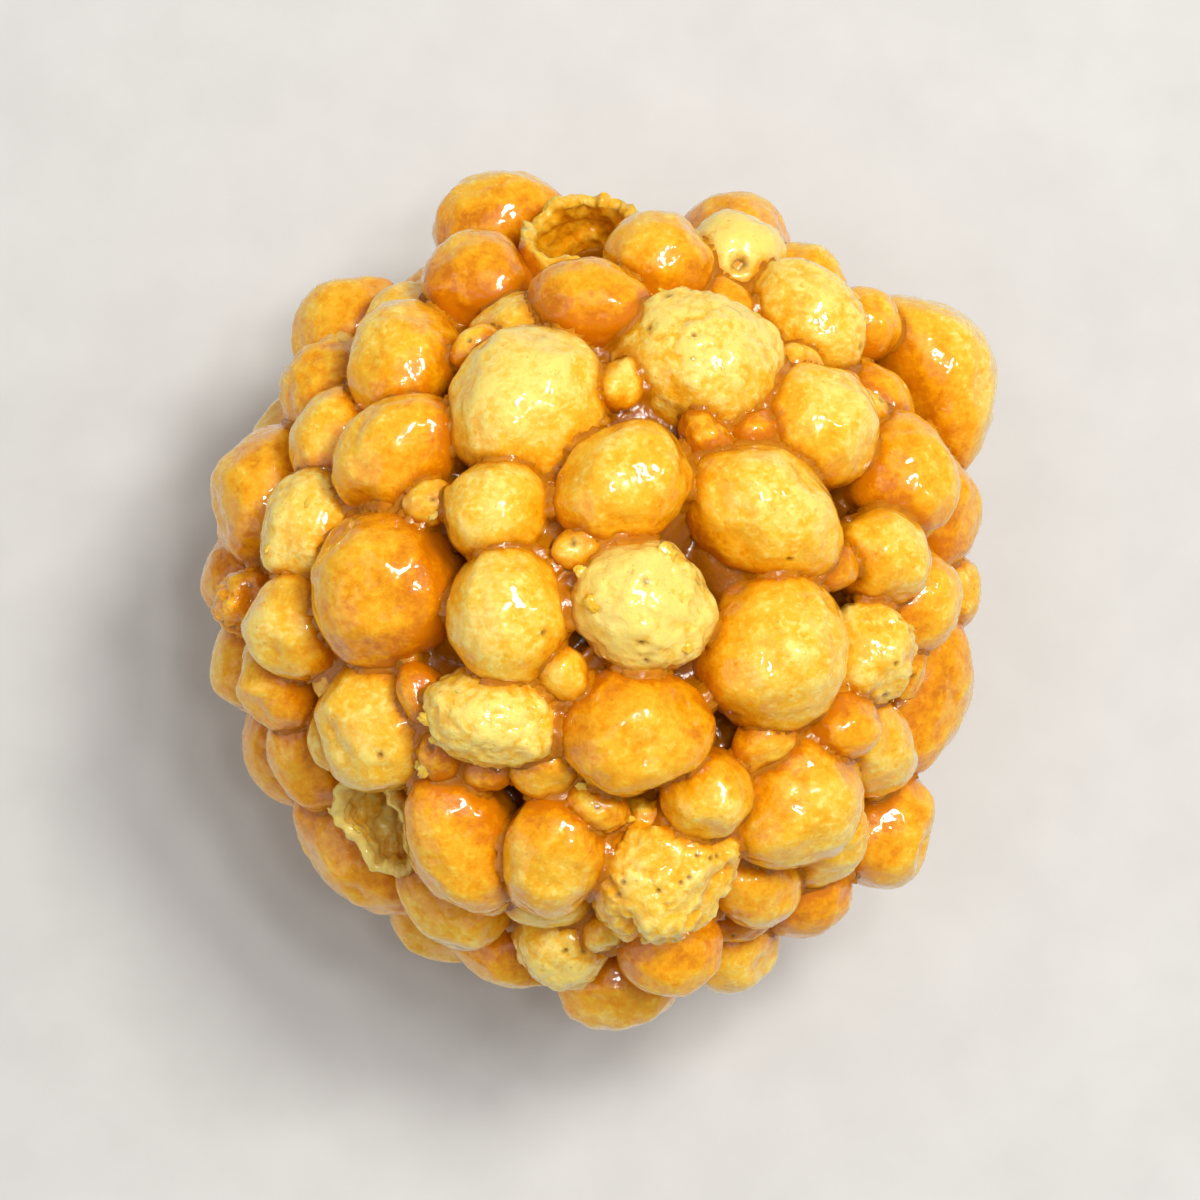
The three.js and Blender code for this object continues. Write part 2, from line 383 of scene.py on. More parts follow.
LOOKS = {
    # look: lumps (share of size), dents (mm), grain (mm), crust (0 to 1)
    "glazed": (0.07, 0.10, 0.030, 0.10),
    "bent": (0.05, 0.10, 0.030, 0.10),
    "curled": (0.05, 0.10, 0.030, 0.10),
    "dry": (0.06, 0.07, 0.035, 0.75),
    "crusty": (0.10, 0.11, 0.055, 0.80),
    "crumbly": (0.12, 0.20, 0.090, 0.70),
    "pierced": (0.06, 0.08, 0.040, 0.70),
    "broken": (0.08, 0.12, 0.060, 0.45),
}
MOST_PITS = {
    "glazed": 1.3,
    "bent": 2,
    "curled": 2,
    "dry": 5,
    "crusty": 7,
    "crumbly": 14,
    "pierced": 3,
    "broken": 3,
}
PIT_SIZE = 0.26
PIT_DEPTH = 0.28
DIMPLE_SIZE = 1.7
DIMPLE_DEPTH = 0.3
DENT_SIZES = (1.5, 0.8)
GRAIN_SIZE = 0.42
PATCH_SIZE = 3.2  # of the crust
CRUST_SIZE = 0.95  # of the lumps in it
CHUNK_SIZE = 1.5  # of what has broken off a crumbly one
CHUNK_DEPTH = 0.75
FACETS = 6  # flat places where others pressed on a boondi
FLATTEST = 0.88  # how near its middle they come, as a share
CURL = 0.2  # of the one that lies round the ball's side
CURL_THICKNESS = 0.77  # of it, out of the ball, as a share of an even one's
TAPER = 0.14  # how much thinner or thicker a boondi is at one end than in the middle
CREASE = 0.9  # how near a neighbour the syrup gathers and the painted crease shade reaches
FAR = 9.0
UNSURE = 0.7  # how far a boondi's skin may be from its even form
OUTWARD_PAINTED_LIGHT = 0.42  # how much paler a boondi is painted on the side that faces out and darker on its sides: painted light and shade
HOLE = 0.2  # the width of a pierced one's hole, as a share
HOLE_DEPTH = 0.9
HOLE_WAY = (0.1, -0.2, 0.97)  # from the middle of the pierced one


def sphere_template(parts, outwards=0.0):
    """Unit vertices and triangles of a sphere, each edge of an icosahedron cut in equal parts.

    With outwards above 0 the vertices lie closer together on the side towards +Z.
    """
    bm = bmesh.new()
    bmesh.ops.create_icosphere(bm, subdivisions=1, radius=1)
    corners = np.array([v.co for v in bm.verts])
    big = np.array([[v.index for v in f.verts] for f in bm.faces])
    bm.free()
    row = [(i, j) for i in range(parts + 1) for j in range(parts + 1 - i)]
    index = {place: k for k, place in enumerate(row)}
    small = [(index[i, j], index[i + 1, j], index[i, j + 1]) for i, j in row if i + j < parts]
    small += [
        (index[i + 1, j], index[i + 1, j + 1], index[i, j + 1]) for i, j in row if i + j < parts - 1
    ]
    shares = np.array([(parts - i - j, i, j) for i, j in row]) / parts
    verts = np.concatenate([shares @ corners[three] for three in big])
    faces = np.concatenate([np.array(small) + k * len(row) for k in range(len(big))])
    _, first, same = np.unique(
        np.round(verts, 5) + 0.0, axis=0, return_index=True, return_inverse=True
    )
    ways = verts[first] / np.linalg.norm(verts[first], axis=1)[:, None]
    ways = ways + np.array([0, 0, outwards])
    return ways / np.linalg.norm(ways, axis=1)[:, None], same.reshape(-1)[faces]


def gaps_between(points, boondi, reach):
    """How far points are outside a boondi's skin, less than 0 inside, and FAR beyond the reach."""
    gaps = np.full(len(points), FAR)
    for i in np.flatnonzero(boondi.distance(points) < reach + UNSURE):
        place = Vector(points[i])
        spot, normal, _, away = boondi.tree.find_nearest(place)
        gaps[i] = away if (place - spot).dot(normal) > 0 else -away
    return gaps


def crease_of(points, boondi, others):
    """1 where the points touch another boondi, falling to 0 a little way off."""
    gap = np.full(len(points), FAR)
    for other in others:
        apart = np.linalg.norm(other.middle - boondi.middle)
        if other is not boondi and apart < (boondi.long + other.long) / 2 + CREASE:
            gap = np.minimum(gap, gaps_between(points, other, CREASE))
    return 1 - smoothstep(0, CREASE, gap)


def pits(points, ways, count, random, size):
    """How deep points lie in a few small pits that face outwards, from 0 to 1."""
    depth = np.zeros(len(points))
    outer = np.flatnonzero(ways[:, 2] > 0.15)
    for _ in range(count):
        spot = points[outer[int(random() * len(outer))]]
        radius = size * (0.6 + 0.8 * random())
        away = np.linalg.norm(points - spot, axis=1)
        depth = np.maximum(depth, 1 - smoothstep(0.25 * radius, radius, away))
    return depth


def skin(boondi, ways, random):
    """The skin of a boondi along unit vectors of its own axes: places, ways out, crust, hollows."""
    lumps, dents, grain, crust = LOOKS[boondi.look]
    shift = np.array([random(), random(), random()]) * 50
    taper = TAPER * (2 * random() - 1)
    swell = 1 + lumps * (noise(ways * 1.15 + shift, 1) + 0.45 * noise(ways * 2.4 + shift, 2))
    for _ in range(0 if boondi.look == "curled" else FACETS):
        facet = np.array([random(), random(), random()]) - 0.5
        facing = ways @ (facet / np.linalg.norm(facet))
        flat = (FLATTEST + (1 - FLATTEST) * random()) / np.maximum(facing, 0.1)
        swell = smooth_least(swell, flat, 0.07)
    local = ways * boondi.radii * swell[:, None]
    local[:, 1:] *= (1 + taper * ways[:, 0])[:, None]
    if boondi.look in ("bent", "curled"):
        ends = (2 * local[:, 0] / boondi.long) ** 2 - 1 / 3
        if boondi.look == "bent":
            local[:, 1] += BEND * boondi.long * ends
        else:
            thinner = (1 - CURL_THICKNESS) * boondi.radii[2]
            local[:, 2] = CURL_THICKNESS * local[:, 2] + 0.25 * thinner - CURL * boondi.long * ends
    points = local @ boondi.axes + boondi.middle
    normals = ways / boondi.radii
    normals = (normals / np.linalg.norm(normals, axis=1)[:, None]) @ boondi.axes
    wide, close = DENT_SIZES
    relief = dents * (noise(points / wide + shift, 3) + 0.6 * noise(points / close + shift, 4))
    relief += grain * noise(points / GRAIN_SIZE + shift, 5)
    patch = smoothstep(-0.25, 0.35, noise(points / PATCH_SIZE + shift, 6) + 1.6 * (crust - 0.5))
    if crust > 0.6:
        warp = 0.35 * noise(points / 1.3 + shift, 10)
        first, second = cell_noise(points / CRUST_SIZE + shift + warp[:, None], 7)
        relief += patch * dents * (1.1 * smoothstep(0, 0.35, second - first) - 0.7)
    if boondi.look == "crumbly":
        first, _ = cell_noise(points / CHUNK_SIZE + shift, 8)
        broken = smoothstep(0.2, 0.6, noise(points / 2.2 + shift, 9)) * (ways[:, 2] > -0.2)
        relief -= broken * CHUNK_DEPTH * smoothstep(0.15, 0.5, first)
    # hollow is how deep a point lies in the relief; the material paints these hollows darker, a
    # painted shade.
    hollow = np.clip(0.5 - relief / (3.2 * dents), 0, 1)
    dimple = DIMPLE_DEPTH * pits(points, ways, int(2.6 * random()), random, DIMPLE_SIZE)
    return points + normals * (relief - dimple)[:, None], normals, patch, hollow


def grow(boondi, template, random):
    """Gives a whole boondi its skin, and the looks that its neighbours don't change."""
    ways, faces = template
    points, normals, patch, hollow = skin(boondi, ways, random)
    crust = LOOKS[boondi.look][3]
    pit = pits(points, ways, int(MOST_PITS[boondi.look] * random()), random, PIT_SIZE)
    if boondi.look == "pierced":
        way = boondi.axes @ np.array(HOLE_WAY)
        mouth = (way * boondi.radii) @ boondi.axes + boondi.middle
        away = np.linalg.norm(points - mouth, axis=1)
        hole = 1 - smoothstep(0.45, 1, away / (HOLE * boondi.wide / 2))
        points = points - (way @ boondi.axes) * HOLE_DEPTH * hole[:, None]
        # The hole counts as a pit, so it is painted dark: painted shade.
        pit = np.maximum(pit, hole)
    boondi.points = points - normals * (PIT_DEPTH * pit)[:, None]
    boondi.faces = faces
    boondi.looks = {
        # The tint is painted paler on the side that faces out and darker on the sides: painted light
        # and shade over the boondi's own tint.
        "tint": boondi.tint + OUTWARD_PAINTED_LIGHT * (1 - 0.7 * crust) * (ways[:, 2] - 0.6),
        "crust": patch,
        "hollow": hollow,
        "syrup": np.zeros(len(points)),
        "pit": pit,
    }


def part_of(boondi, others):
    """A grown boondi as a part, with syrup, painted crease shade and less crust where it touches the
    others.
    """
    crease = crease_of(boondi.points, boondi, others)
    looks = dict(boondi.looks)
    # The syrup attribute darkens and browns the boondi near its neighbours: syrup in the crease, and
    # painted shade.
    looks["syrup"] = np.maximum(looks["syrup"], crease)
    looks["crust"] = looks["crust"] * (1 - 0.7 * crease)
    return boondi.points, boondi.faces, looks


SHELL_WALL = 1.0
SHELL_TURNS = 110
SHELL_RINGS = 30
MOUTH_UP = 0.9  # how much a broken boondi opens upwards, against outwards


def mouth_axes(boondi):
    """The way a broken boondi opens and two ways across it, in its own axes."""
    up = boondi.axes @ np.array([0, 0, 1])
    mouth = np.array([0, 0, 1]) + MOUTH_UP * up
    mouth /= np.linalg.norm(mouth)
    across = np.cross(mouth, [1, 0, 0])
    across /= np.linalg.norm(across)
    return np.array([np.cross(across, mouth), across, mouth])


def grow_broken(boondi, random):
    """Gives a boondi a hollow skin with a ragged mouth, as one closed thin wall."""
    shift = 50 * random()
    turn = np.linspace(0, 2 * math.pi, SHELL_TURNS, endpoint=False)
    circle = np.stack([np.cos(turn), np.sin(turn), np.full_like(turn, shift)], axis=1)
    rim = 1.0 + 0.28 * noise(circle * 1.1, 11) + 0.14 * noise(circle * 2.8, 12)
    rim += 0.05 * noise(circle * 7, 13)
    share = np.linspace(0, 1, SHELL_RINGS)[:, None]
    tilt = rim[None] + (math.pi - 0.02 - rim[None]) * share**1.15
    ways = np.stack(
        [np.sin(tilt) * np.cos(turn), np.sin(tilt) * np.sin(turn), np.cos(tilt)], axis=2
    ).reshape(-1, 3)
    ways = ways @ mouth_axes(boondi)
    points, normals, patch, hollow = skin(boondi, ways, random)
    edge = 1 - smoothstep(0, 0.16, np.repeat(share[:, 0], SHELL_TURNS))
    wall = SHELL_WALL * (1 - 0.35 * edge) * (1 + 0.3 * noise(points / 1.1, 16))
    inner_points = points - normals * wall[:, None]
    rough = 0.22 * noise(inner_points / 0.9, 14) + 0.1 * noise(inner_points / 0.4, 15)
    inner_points = inner_points + normals * rough[:, None]
    flare = 0.4 * edge * noise(points / 0.8, 17)
    points = points + normals * flare[:, None]
    inner_points = inner_points + normals * flare[:, None]
    count = len(points)
    rings = np.arange(count).reshape(SHELL_RINGS, SHELL_TURNS)
    outer = quads_between(rings)
    inner = quads_between(rings + count)[:, ::-1]
    lip = quads_between(np.stack([rings[0] + count, rings[0]]))
    ends = [(rings[-1], points, False), (rings[-1] + count, inner_points, True)]
    faces = [outer, inner, lip]
    verts = [points, inner_points]
    total = 2 * count
    for ring, of_ring, flipped in ends:
        verts.append(of_ring[-SHELL_TURNS:].mean(axis=0)[None])
        fan = np.stack([ring, np.roll(ring, -1), np.full(SHELL_TURNS, total)], axis=1)
        fan = fan[:, ::-1] if not flipped else fan
        faces.append(np.concatenate([fan, fan[:, 2:]], axis=1))
        total += 1
    inside = np.concatenate([np.zeros(count), np.ones(count), [0, 1]])
    raw = np.concatenate([edge, np.maximum(edge, 0.35), [0, 0.35]])
    boondi.points = np.concatenate(verts)
    boondi.faces = triangles_of(np.concatenate(faces))
    boondi.looks = {
        "tint": boondi.tint + 0.3 * raw,
        "crust": np.maximum(np.concatenate([patch, patch, [0, 0]]) * 0.5, raw),
        "hollow": np.concatenate([hollow, hollow, [0.5, 0.5]]),
        # Inside, the shell gets a little syrup and is painted a little darker: painted shade.
        "syrup": 0.12 * inside,
        "pit": 0.1 * inside,
    }


def quads_between(rings):
    """Four-sided faces between each ring of vertices and the next."""
    here, after = rings[:-1], rings[1:]
    right = np.roll(here, -1, axis=1)
    right_after = np.roll(after, -1, axis=1)
    return np.stack([here, after, right_after, right], axis=-1).reshape(-1, 4)


def triangles_of(quads):
    """Each quad as two triangles, or as one where its last corner repeats."""
    first = quads[:, [0, 1, 2]]
    second = quads[:, [0, 2, 3]]
    return np.concatenate([first, second[quads[:, 2] != quads[:, 3]]])


# ---------------------------------------------------------------- pieces


def settled(points):
    """Points from the ball's middle, pressed flat where the ladoo rests, from its foot."""
    points = points + MIDDLE
    points[:, 2] = np.maximum(points[:, 2], 0)
    return points


def add_piece(name, parts, material, body="root"):
    """One object of the ladoo from parts in millimetres, smooth, with its looks as attributes."""
    offsets = np.cumsum([0] + [len(part[0]) for part in parts])
    verts = settled(np.concatenate([part[0] for part in parts])) * MM
    faces = np.concatenate([part[1] + start for part, start in zip(parts, offsets)])
    mesh = bpy.data.meshes.new(name)
    mesh.vertices.add(len(verts))
    mesh.vertices.foreach_set("co", verts.ravel())
    mesh.loops.add(faces.size)
    mesh.loops.foreach_set("vertex_index", faces.ravel())
    mesh.polygons.add(len(faces))
    mesh.polygons.foreach_set("loop_start", np.arange(0, faces.size, faces.shape[1]))
    mesh.update(calc_edges=True)
    for key in parts[0][2]:
        values = np.concatenate([part[2][key] for part in parts])
        attribute = mesh.attributes.new(key, "FLOAT", "POINT")
        attribute.data.foreach_set("value", values.astype(np.float32))
    mesh.shade_smooth()
    mesh.materials.append(material)
    piece = bpy.data.objects.new(name, mesh)
    bpy.context.scene.collection.objects.link(piece)
    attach(piece, body)
    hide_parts("ladoo")
    return piece


def core_part(depth):
    """The closed heart of the ladoo, painted all in the syrup's deep shade."""
    ways, faces = sphere_template(24)
    bumps = 0.8 * noise(ways * 5, 21) + 0.4 * noise(ways * 11, 22)
    points = ways * (ball_radius(ways) - depth + bumps)[:, None]
    ones = np.ones(len(points))
    # A depth of 1 paints the core all in the deep painted shade.
    return points, faces, {"depth": ones, "thin": 0 * ones, "coated": 0 * ones}


VOXEL = 0.425
SMOOTHINGS = 7
SINK = 0.6  # how far the syrup's skin goes under the boondi, away from the creases
FILM = (0.05, 0.38)  # from full syrup to none, by how much farther the next boondi is
COATING = 0.1  # of syrup on the boondi under the outer ones


def remeshed(parts):
    """The outside of all the parts as one smoothed skin: vertices, normals and quads."""
    offsets = np.cumsum([0] + [len(part[0]) for part in parts])
    verts = np.concatenate([part[0] for part in parts])
    faces = np.concatenate([part[1] + start for part, start in zip(parts, offsets)])
    mesh = bpy.data.meshes.new("draft")
    mesh.from_pydata(verts.tolist(), [], faces.tolist())
    draft = bpy.data.objects.new("draft", mesh)
    bpy.context.scene.collection.objects.link(draft)
    remesh = draft.modifiers.new("remesh", "REMESH")
    remesh.mode = "VOXEL"
    remesh.voxel_size = VOXEL
    smooth = draft.modifiers.new("smooth", "SMOOTH")
    smooth.iterations = SMOOTHINGS
    smooth.factor = 0.5
    graph = bpy.context.evaluated_depsgraph_get()
    made = bpy.data.meshes.new_from_object(draft.evaluated_get(graph))
    bm = bmesh.new()
    bm.from_mesh(made)
    drop_hidden(bm)
    points = np.array([v.co for v in bm.verts])
    normals = np.array([v.normal for v in bm.verts])
    quads = np.array([[v.index for v in f.verts] for f in bm.faces])
    bm.free()
    bpy.data.objects.remove(draft)
    bpy.data.meshes.remove(made)
    bpy.data.meshes.remove(mesh)
    return points, normals, quads


def drop_hidden(bm):
    """Keeps the largest closed skin of a mesh, which is the outer one."""
    left = set(bm.verts)
    skins = []
    while left:
        grown = [left.pop()]
        for vert in grown:
            for edge in vert.link_edges:
                other = edge.other_vert(vert)
                if other in left:
                    left.remove(other)
                    grown.append(other)
        skins.append(grown)
    skins.sort(key=len)
    hidden = [vert for one in skins[:-1] for vert in one]
    bmesh.ops.delete(bm, geom=hidden, context="VERTS")
    bm.verts.index_update()


def syrup_part(outer, inner, heart):
    """Syrup in the creases, and over the boondi under the outer ones, which show in the gaps.

    It is one skin over everything, smoothed, and sunk into the outer boondi away from creases.
    """
    solids = [one for one in outer if one.look != "broken"] + inner
    points, normals, quads = remeshed([(one.points, one.faces) for one in solids] + [heart])
    first = np.full(len(points), FAR)
    second = np.full(len(points), FAR)
    coated = np.full(len(points), FAR)
    for one in outer:
        gap = gaps_between(points, one, FILM[1] + 0.5)
        second = np.minimum(second, np.maximum(first, gap))
        first = np.minimum(first, gap)
    for one in inner:
        coated = np.minimum(coated, gaps_between(points, one, FILM[1] + 0.5))
    apart = np.minimum(second, coated + 0.15) - first + 0.12 * noise(points / 2.5, 33)
    apart[first == FAR] = 0
    under = smoothstep(-0.4, 0.3, first - coated)
    pools = 0.06 * noise(points / 3, 31) - SINK * smoothstep(*FILM, apart) * (1 - under)
    points = points + normals * (pools + COATING * under)[:, None]
    reach = ball_radius(points / np.linalg.norm(points, axis=1)[:, None])
    depth = reach - np.linalg.norm(points, axis=1)
    looks = {
        # Deeper in the ball the syrup is painted darker: painted shade.
        "depth": smoothstep(2.6, 7.0, depth),
        "thin": smoothstep(0.0, 0.5, apart) * (1 - under),
        "coated": under,
    }
    return points, triangles_of(quads), looks


CRUMBS = 80


def crumb_parts(boondi, random):
    """Small flakes of batter stuck to the boondi."""
    ways, faces = sphere_template(4)
    hosts = [one for one in boondi if one.look in ("crusty", "crumbly", "dry", "broken")]
    parts = []
    for _ in range(CRUMBS):
        host = hosts[int(random() * len(hosts))]
        angle = 2 * math.pi * random()
        tilt = 0.5 + 0.9 * random()
        flat = math.sin(tilt)
        way = np.array([flat * math.cos(angle), flat * math.sin(angle), math.cos(tilt)])
        near = (way * host.radii) @ host.axes + host.middle
        spot = np.array(host.tree.find_nearest(Vector(near))[0])
        size = 0.22 + 0.4 * random() ** 2
        squash = np.array([1, 0.7, 0.35])
        shift = 50 * random()
        swell = 1 + 0.45 * noise(ways * 1.6 + shift, 41) + 0.2 * noise(ways * 3.5 + shift, 42)
        form = ways * squash * swell[:, None] * size
        points = form @ host.axes + spot
        ones = np.ones(len(points))
        looks = {"tint": 0.6 * ones, "crust": 0.9 * ones, "hollow": 0.5 * ones}
        looks.update({"syrup": 0 * ones, "pit": 0 * ones})
        parts.append((points, faces, looks))
    return parts


# ---------------------------------------------------------------- materials


class Nodes:
    """Adds nodes to a material, with values or links for their inputs."""

    def __init__(self, name):
        self.material = bpy.data.materials.new(name)
        self.material.use_nodes = True
        self.tree = self.material.node_tree
        self.tree.nodes.clear()

    def add(self, kind, inputs=None, **settings):
        node = self.tree.nodes.new(kind)
        for key, value in settings.items():
            setattr(node, key, value)
        for key, value in (inputs or {}).items():
            socket = node.inputs[key]
            if isinstance(value, bpy.types.NodeSocket):
                self.tree.links.new(value, socket)
            else:
                socket.default_value = value
        return node

    def math(self, operation, a, b=0.0, c=0.0, clamp=False):
        node = self.add("ShaderNodeMath", {0: a, 1: b, 2: c}, operation=operation)
        node.use_clamp = clamp
        return node.outputs[0]

    def attribute(self, name):
        return self.add("ShaderNodeAttribute", attribute_name=name).outputs["Fac"]

    def millimetres(self):
        place = self.add("ShaderNodeTexCoord").outputs["Object"]
        scaled = self.add("ShaderNodeVectorMath", {0: place, 3: 1 / MM}, operation="SCALE")
        return scaled.outputs[0]

    def noise(self, place, size, detail=3.0, roughness=0.55):
        inputs = {"Vector": place, "Scale": 1 / size, "Detail": detail, "Roughness": roughness}
        return self.add("ShaderNodeTexNoise", inputs).outputs["Fac"]

    def ramp(self, value, *stops):
        node = self.add("ShaderNodeValToRGB", {"Fac": value})
        elements = node.color_ramp.elements
        while len(elements) < len(stops):
            elements.new(0.5)
        for element, (position, colour) in zip(elements, stops):
            element.position = position
            element.color = (*colour, 1)
        return node.outputs["Color"]

    def mix(self, share, a, b, blend="MIX"):
        inputs = {"Factor": share, "A": a, "B": b}
        node = self.tree.nodes.new("ShaderNodeMix")
        node.data_type = "RGBA"
        node.blend_type = blend
        for key, value in inputs.items():
            sockets = [s for s in node.inputs if s.name == key and s.enabled]
            socket = sockets[0]
            if isinstance(value, bpy.types.NodeSocket):
                self.tree.links.new(value, socket)
            else:
                socket.default_value = value if key == "Factor" else (*value, 1)
        return [s for s in node.outputs if s.enabled][0]

    def finish(self, shader_inputs, **settings):
        shader = self.add("ShaderNodeBsdfPrincipled", shader_inputs, **settings)
        self.add("ShaderNodeOutputMaterial", {"Surface": shader.outputs[0]})
        return self.material


AMBER = (0.66, 0.21, 0.001)
GOLD = (0.88, 0.39, 0.003)
YELLOW = (0.94, 0.56, 0.043)
CREAM = (0.98, 0.78, 0.24)
# Brown near the creases: syrup there, and painted crease shade.
CREASE_SYRUP_AND_SHADE = (0.50, 0.13, 0.002)
# Pits and the pierced hole are painted dark: painted shade.
PIT_SHADE = (0.20, 0.06, 0.003)
SYRUP_THIN = (0.80, 0.32, 0.004)
SYRUP = (0.44, 0.13, 0.002)
# Deep in the ball: painted shade.
SYRUP_IN_DEEP_SHADE = (0.15, 0.038, 0.001)
SYRUP_COAT = (0.60, 0.23, 0.004)


def boondi_material():
    n = Nodes("boondi_in_jaggery")
    place = n.millimetres()
    tint, crust, hollow = n.attribute("tint"), n.attribute("crust"), n.attribute("hollow")
    syrup, pit = n.attribute("syrup"), n.attribute("pit")
    broad = n.noise(place, 2.2, 2.0)
    mottle = n.noise(place, 0.8, 3.0, 0.6)
    grain = n.noise(place, 0.26, 2.0, 0.6)

    # The tint attribute carries the boondi's own tone and the painted light on its outer side and
    # shade on its sides.
    shade = n.math("MULTIPLY_ADD", tint, 1.3, -0.19)
    shade = n.math("ADD", shade, n.math("MULTIPLY_ADD", broad, 0.6, -0.3))
    shade = n.math("ADD", shade, n.math("MULTIPLY_ADD", mottle, 0.8, -0.41))
    shade = n.math("ADD", shade, n.math("MULTIPLY_ADD", grain, 0.5, -0.25))
    shade = n.math("ADD", shade, n.math("MULTIPLY", crust, 0.22))
    # Hollows of the relief are painted darker, more so on crust: painted shade.
    painted_hollow_shade = n.math("MULTIPLY", hollow, n.math("MULTIPLY_ADD", crust, 0.3, 0.4))
    shade = n.math("SUBTRACT", shade, n.math("SUBTRACT", painted_hollow_shade, 0.22))
    fleck = n.math("MULTIPLY_ADD", n.noise(place, 0.42, 1.0), 6.0, -3.2, clamp=True)
    shade = n.math("ADD", shade, n.math("MULTIPLY", fleck, n.math("MULTIPLY", tint, 0.4)))
    # Near a neighbour the boondi is darker and browner: syrup in the crease, and painted shade.
    shade = n.math("SUBTRACT", shade, n.math("MULTIPLY", syrup, 0.36))
    colour = n.ramp(shade, (0.0, AMBER), (0.32, GOLD), (0.64, YELLOW), (1.0, CREAM))
    colour = n.mix(n.math("MULTIPLY", syrup, 0.45), colour, CREASE_SYRUP_AND_SHADE)
    speck = n.math("GREATER_THAN", n.noise(place, 0.5, 2.0), 0.70)
    colour = n.mix(n.math("MULTIPLY", speck, 0.4), colour, AMBER)
    # Pits and the pierced hole are painted dark: painted shade.
    colour = n.mix(n.math("MULTIPLY", pit, 0.9, clamp=True), colour, PIT_SHADE)

    rough = n.math("MULTIPLY_ADD", crust, 0.2, 0.3)
    rough = n.math("ADD", rough, n.math("MULTIPLY_ADD", mottle, 0.3, -0.15), clamp=True)
    rugged = n.math("MULTIPLY", grain, n.math("MULTIPLY_ADD", crust, 0.8, 0.4))
    rugged = n.math("ADD", rugged, mottle)
    base_bump = n.add("ShaderNodeBump", {"Height": rugged, "Strength": 0.6, "Distance": 0.10 * MM})
    ripple = n.noise(place, 1.1, 1.0, 0.35)
    coat_bump = n.add("ShaderNodeBump", {"Height": ripple, "Strength": 0.9, "Distance": 0.18 * MM})
    return n.finish(
        {
            "Base Color": colour,
            "Roughness": rough,
            "Normal": base_bump.outputs[0],
            "IOR": 1.4,
            "Specular IOR Level": 0.2,
            "Subsurface Weight": 0.3,
            "Subsurface Radius": (1.0, 0.42, 0.05),
            "Subsurface Scale": 1.2 * MM,
            "Coat Weight": 1.0,
            "Coat Roughness": 0.05,
            "Coat IOR": 1.48,
            "Coat Tint": (1.0, 0.94, 0.74, 1),
            "Coat Normal": coat_bump.outputs[0],
        }
    )


def syrup_material():
    n = Nodes("jaggery_syrup")
    place = n.millimetres()
    depth, thin, coated = n.attribute("depth"), n.attribute("thin"), n.attribute("coated")
    mottle = n.noise(place, 0.9, 3.0)
    # depth paints the syrup darker deeper in the ball: painted shade, with mottle.
    shade = n.math("ADD", depth, n.math("MULTIPLY_ADD", mottle, 0.5, -0.25))
    colour = n.mix(thin, SYRUP, SYRUP_THIN)
    share = n.math("MULTIPLY", coated, n.math("MULTIPLY_ADD", mottle, 1.6, -0.3, clamp=True))
    colour = n.mix(share, colour, SYRUP_COAT)
    colour = n.mix(n.math("MULTIPLY", shade, 1.0, clamp=True), colour, SYRUP_IN_DEEP_SHADE)
    height = n.noise(place, 0.6, 2.0)
    bump = n.add("ShaderNodeBump", {"Height": height, "Strength": 0.7, "Distance": 0.12 * MM})
    return n.finish(
        {
            "Base Color": colour,
            "Roughness": n.math("MULTIPLY_ADD", mottle, 0.15, 0.06),
            "Normal": bump.outputs[0],
            "IOR": 1.48,
            "Subsurface Weight": 0.15,
            "Subsurface Radius": (1.0, 0.35, 0.03),
            "Subsurface Scale": 1.0 * MM,
        }
    )


def floor_material():
    n = Nodes("pale_floor")
    place = n.millimetres()
    grain = n.noise(place, 6.0, 3.0)
    colour = n.ramp(grain, (0.3, (0.60, 0.595, 0.58)), (0.7, (0.64, 0.635, 0.62)))
    return n.finish({"Base Color": colour, "Roughness": 0.55})


# ---------------------------------------------------------------- the ladoo


PARTS_PER_MM = 3.6  # of half a boondi
MOST_PARTS = 17
INNER_PARTS = 8
INNER_COUNT = 120
INNER_DEPTH = 4.6  # of their outsides under the ball's
INNER_WIDTH = 6.2
OUTWARDS = 0.4  # how much closer together vertices are on the outside
CORE_UNDER = 7.5  # how far the core is below the outside


def kind_of(boondi):
    """The piece that a boondi of the outer layer belongs to."""
    if boondi.look == "broken":
        return "broken"
    if boondi.half < 2.8:
        return "small"
    if boondi.look in ("crusty", "crumbly", "dry", "pierced"):
        return "crusty"
    return "amber" if boondi.tint < 0.47 else "golden"


def make_ladoo():
    outer = outer_boondi()
    inner = inner_boondi(INNER_COUNT, INNER_DEPTH, INNER_WIDTH)
    bits = bits_between(outer)
    everyone = outer + inner + bits
    random = random_from(SEED + 3)
    templates = {}
    for one in everyone:
        if one.look == "broken":
            grow_broken(one, random)
        else:
            parts = INNER_PARTS if one in inner else min(MOST_PARTS, round(PARTS_PER_MM * one.half))
            if parts not in templates:
                templates[parts] = sphere_template(parts, OUTWARDS)
            grow(one, templates[parts], random)
        one.tree = BVHTree.FromPolygons(one.points.tolist(), one.faces.tolist())

    batter = boondi_material()
    syrup = syrup_material()
    outer += bits
    kinds = {"golden": [], "amber": [], "crusty": [], "small": [], "broken": []}
    for one in outer:
        kinds[kind_of(one)].append(part_of(one, everyone))
    for kind, parts in kinds.items():
        add_piece("boondi_" + kind, parts, batter)
    add_piece("crumbs", crumb_parts(outer, random), batter)
    core = core_part(CORE_UNDER)
    add_piece("core", [core], syrup)
    add_piece("syrup", [syrup_part(outer, inner, core)], syrup)


# ---------------------------------------------------------------- floor, light and camera

VIEW_ELEVATION = 87  # degrees above the horizon
LADOO_SHARE = 0.72  # of the picture's height
LENS = 150
SENSOR = 36


def make_floor():
    bpy.ops.mesh.primitive_plane_add(size=4, location=(0, 0, -0.0002))
    floor = bpy.context.object
    floor.name = "floor"
    floor.data.materials.append(floor_material())


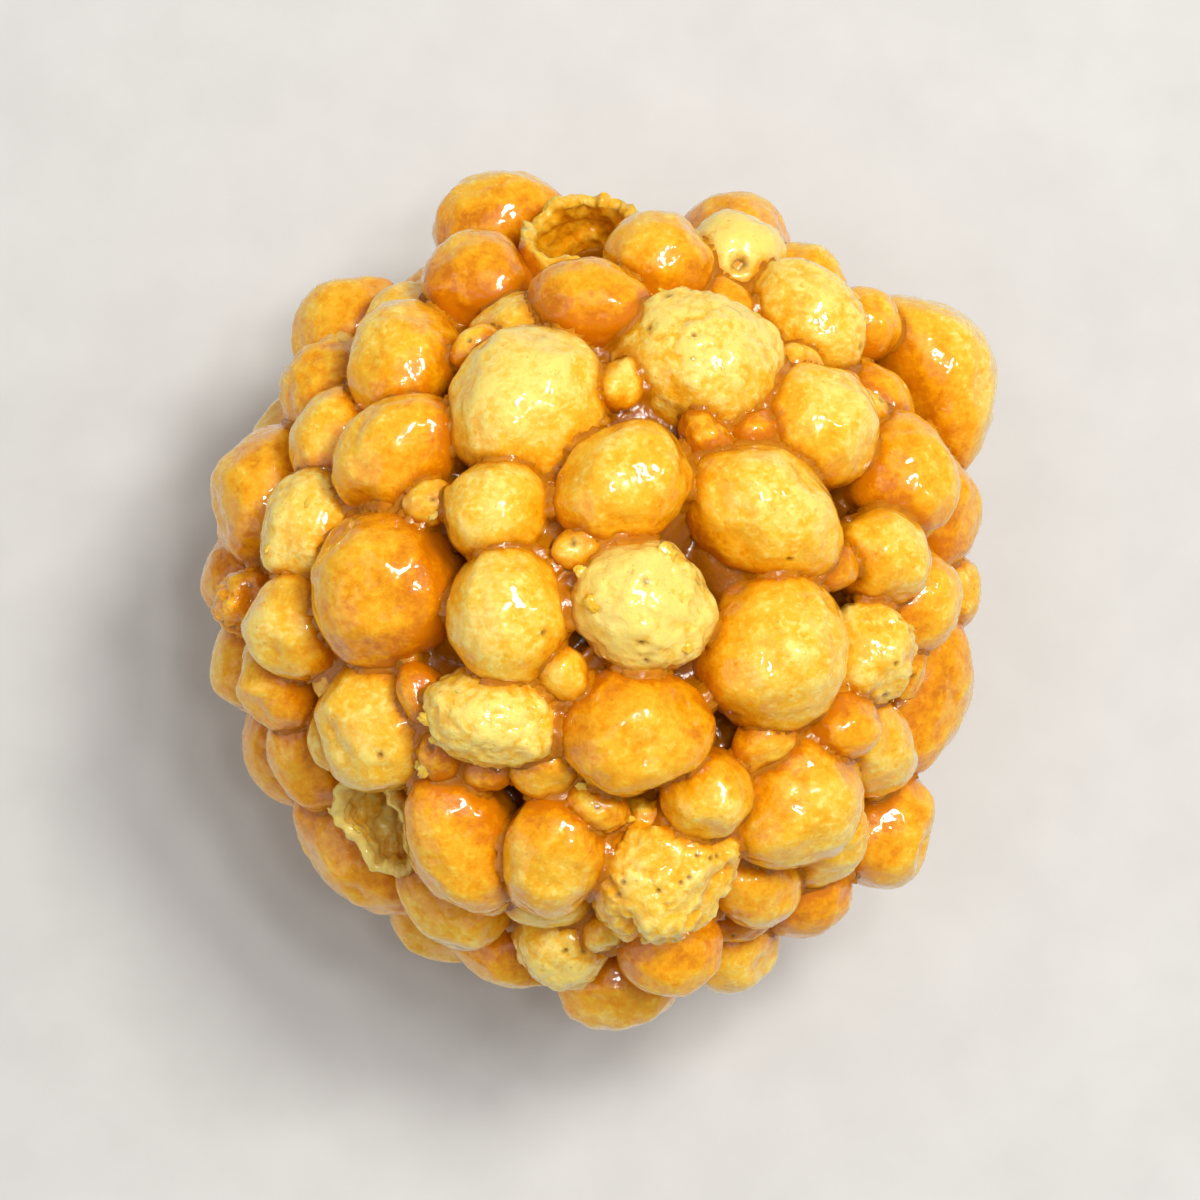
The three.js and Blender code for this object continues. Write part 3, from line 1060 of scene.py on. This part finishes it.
def add_light(name, way, distance, size, power, colour):
    """A square softbox that shines on the ladoo from the way given."""
    light = bpy.data.lights.new(name, "AREA")
    light.shape = "SQUARE"
    light.size = size
    light.energy = power
    light.color = colour
    lamp = bpy.data.objects.new(name, light)
    way = np.array(way) / np.linalg.norm(way)
    lamp.location = MIDDLE * MM + way * distance
    aim(lamp, -way)
    bpy.context.scene.collection.objects.link(lamp)


def aim(thing, way):
    thing.rotation_euler = Vector(way).to_track_quat("-Z", "Y").to_euler()


# Each lamp: name, the way to it, distance and size in metres, power in watts, colour.
LAMPS = (
    ("key", (0.38, 0.28, 1.0), 0.5, 0.11, 1.45, (1, 0.97, 0.92)),
    ("overhead", (-0.05, 0.1, 1.0), 0.7, 0.6, 0.8, (1, 1, 1)),
    ("fill", (-0.9, -0.4, 0.5), 0.6, 0.5, 0.6, (1, 1, 1)),
)
# The ways to the small bright lamps that make the clustered glints.
GLINTS = ((0.12, -0.04, 1.0), (0.27, 0.04, 1.0), (0.14, 0.17, 1.0), (0.75, 0.2, 0.8))
GLINT_LAMP = (0.6, 0.045, 0.3)  # distance, size, power
SKY = 0.25


def make_light():
    for lamp in LAMPS:
        add_light(*lamp)
    for i, way in enumerate(GLINTS):
        add_light(f"glint_{i}", way, *GLINT_LAMP, (1, 1, 1))
    world = bpy.data.worlds.new("studio")
    world.use_nodes = True
    background = world.node_tree.nodes["Background"]
    background.inputs["Color"].default_value = (1, 1, 1, 1)
    background.inputs["Strength"].default_value = SKY
    bpy.context.scene.world = world


def make_camera():
    camera = bpy.data.cameras.new("camera")
    camera.lens = LENS
    camera.sensor_width = SENSOR
    camera.clip_start = 0.01
    tall = (CAD_BOX[1][1] - CAD_BOX[0][1]) / LADOO_SHARE
    distance = tall * LENS / SENSOR
    elevation = math.radians(VIEW_ELEVATION)
    way = np.array([0, -math.cos(elevation), math.sin(elevation)])
    holder = bpy.data.objects.new("camera", camera)
    holder.location = MIDDLE * MM * (0, 0, 1) + way * distance
    aim(holder, -way)
    bpy.context.scene.collection.objects.link(holder)
    bpy.context.scene.camera = holder
    bpy.context.scene.view_settings.view_transform = "Standard"


make_ladoo()
make_floor()
make_light()
make_camera()
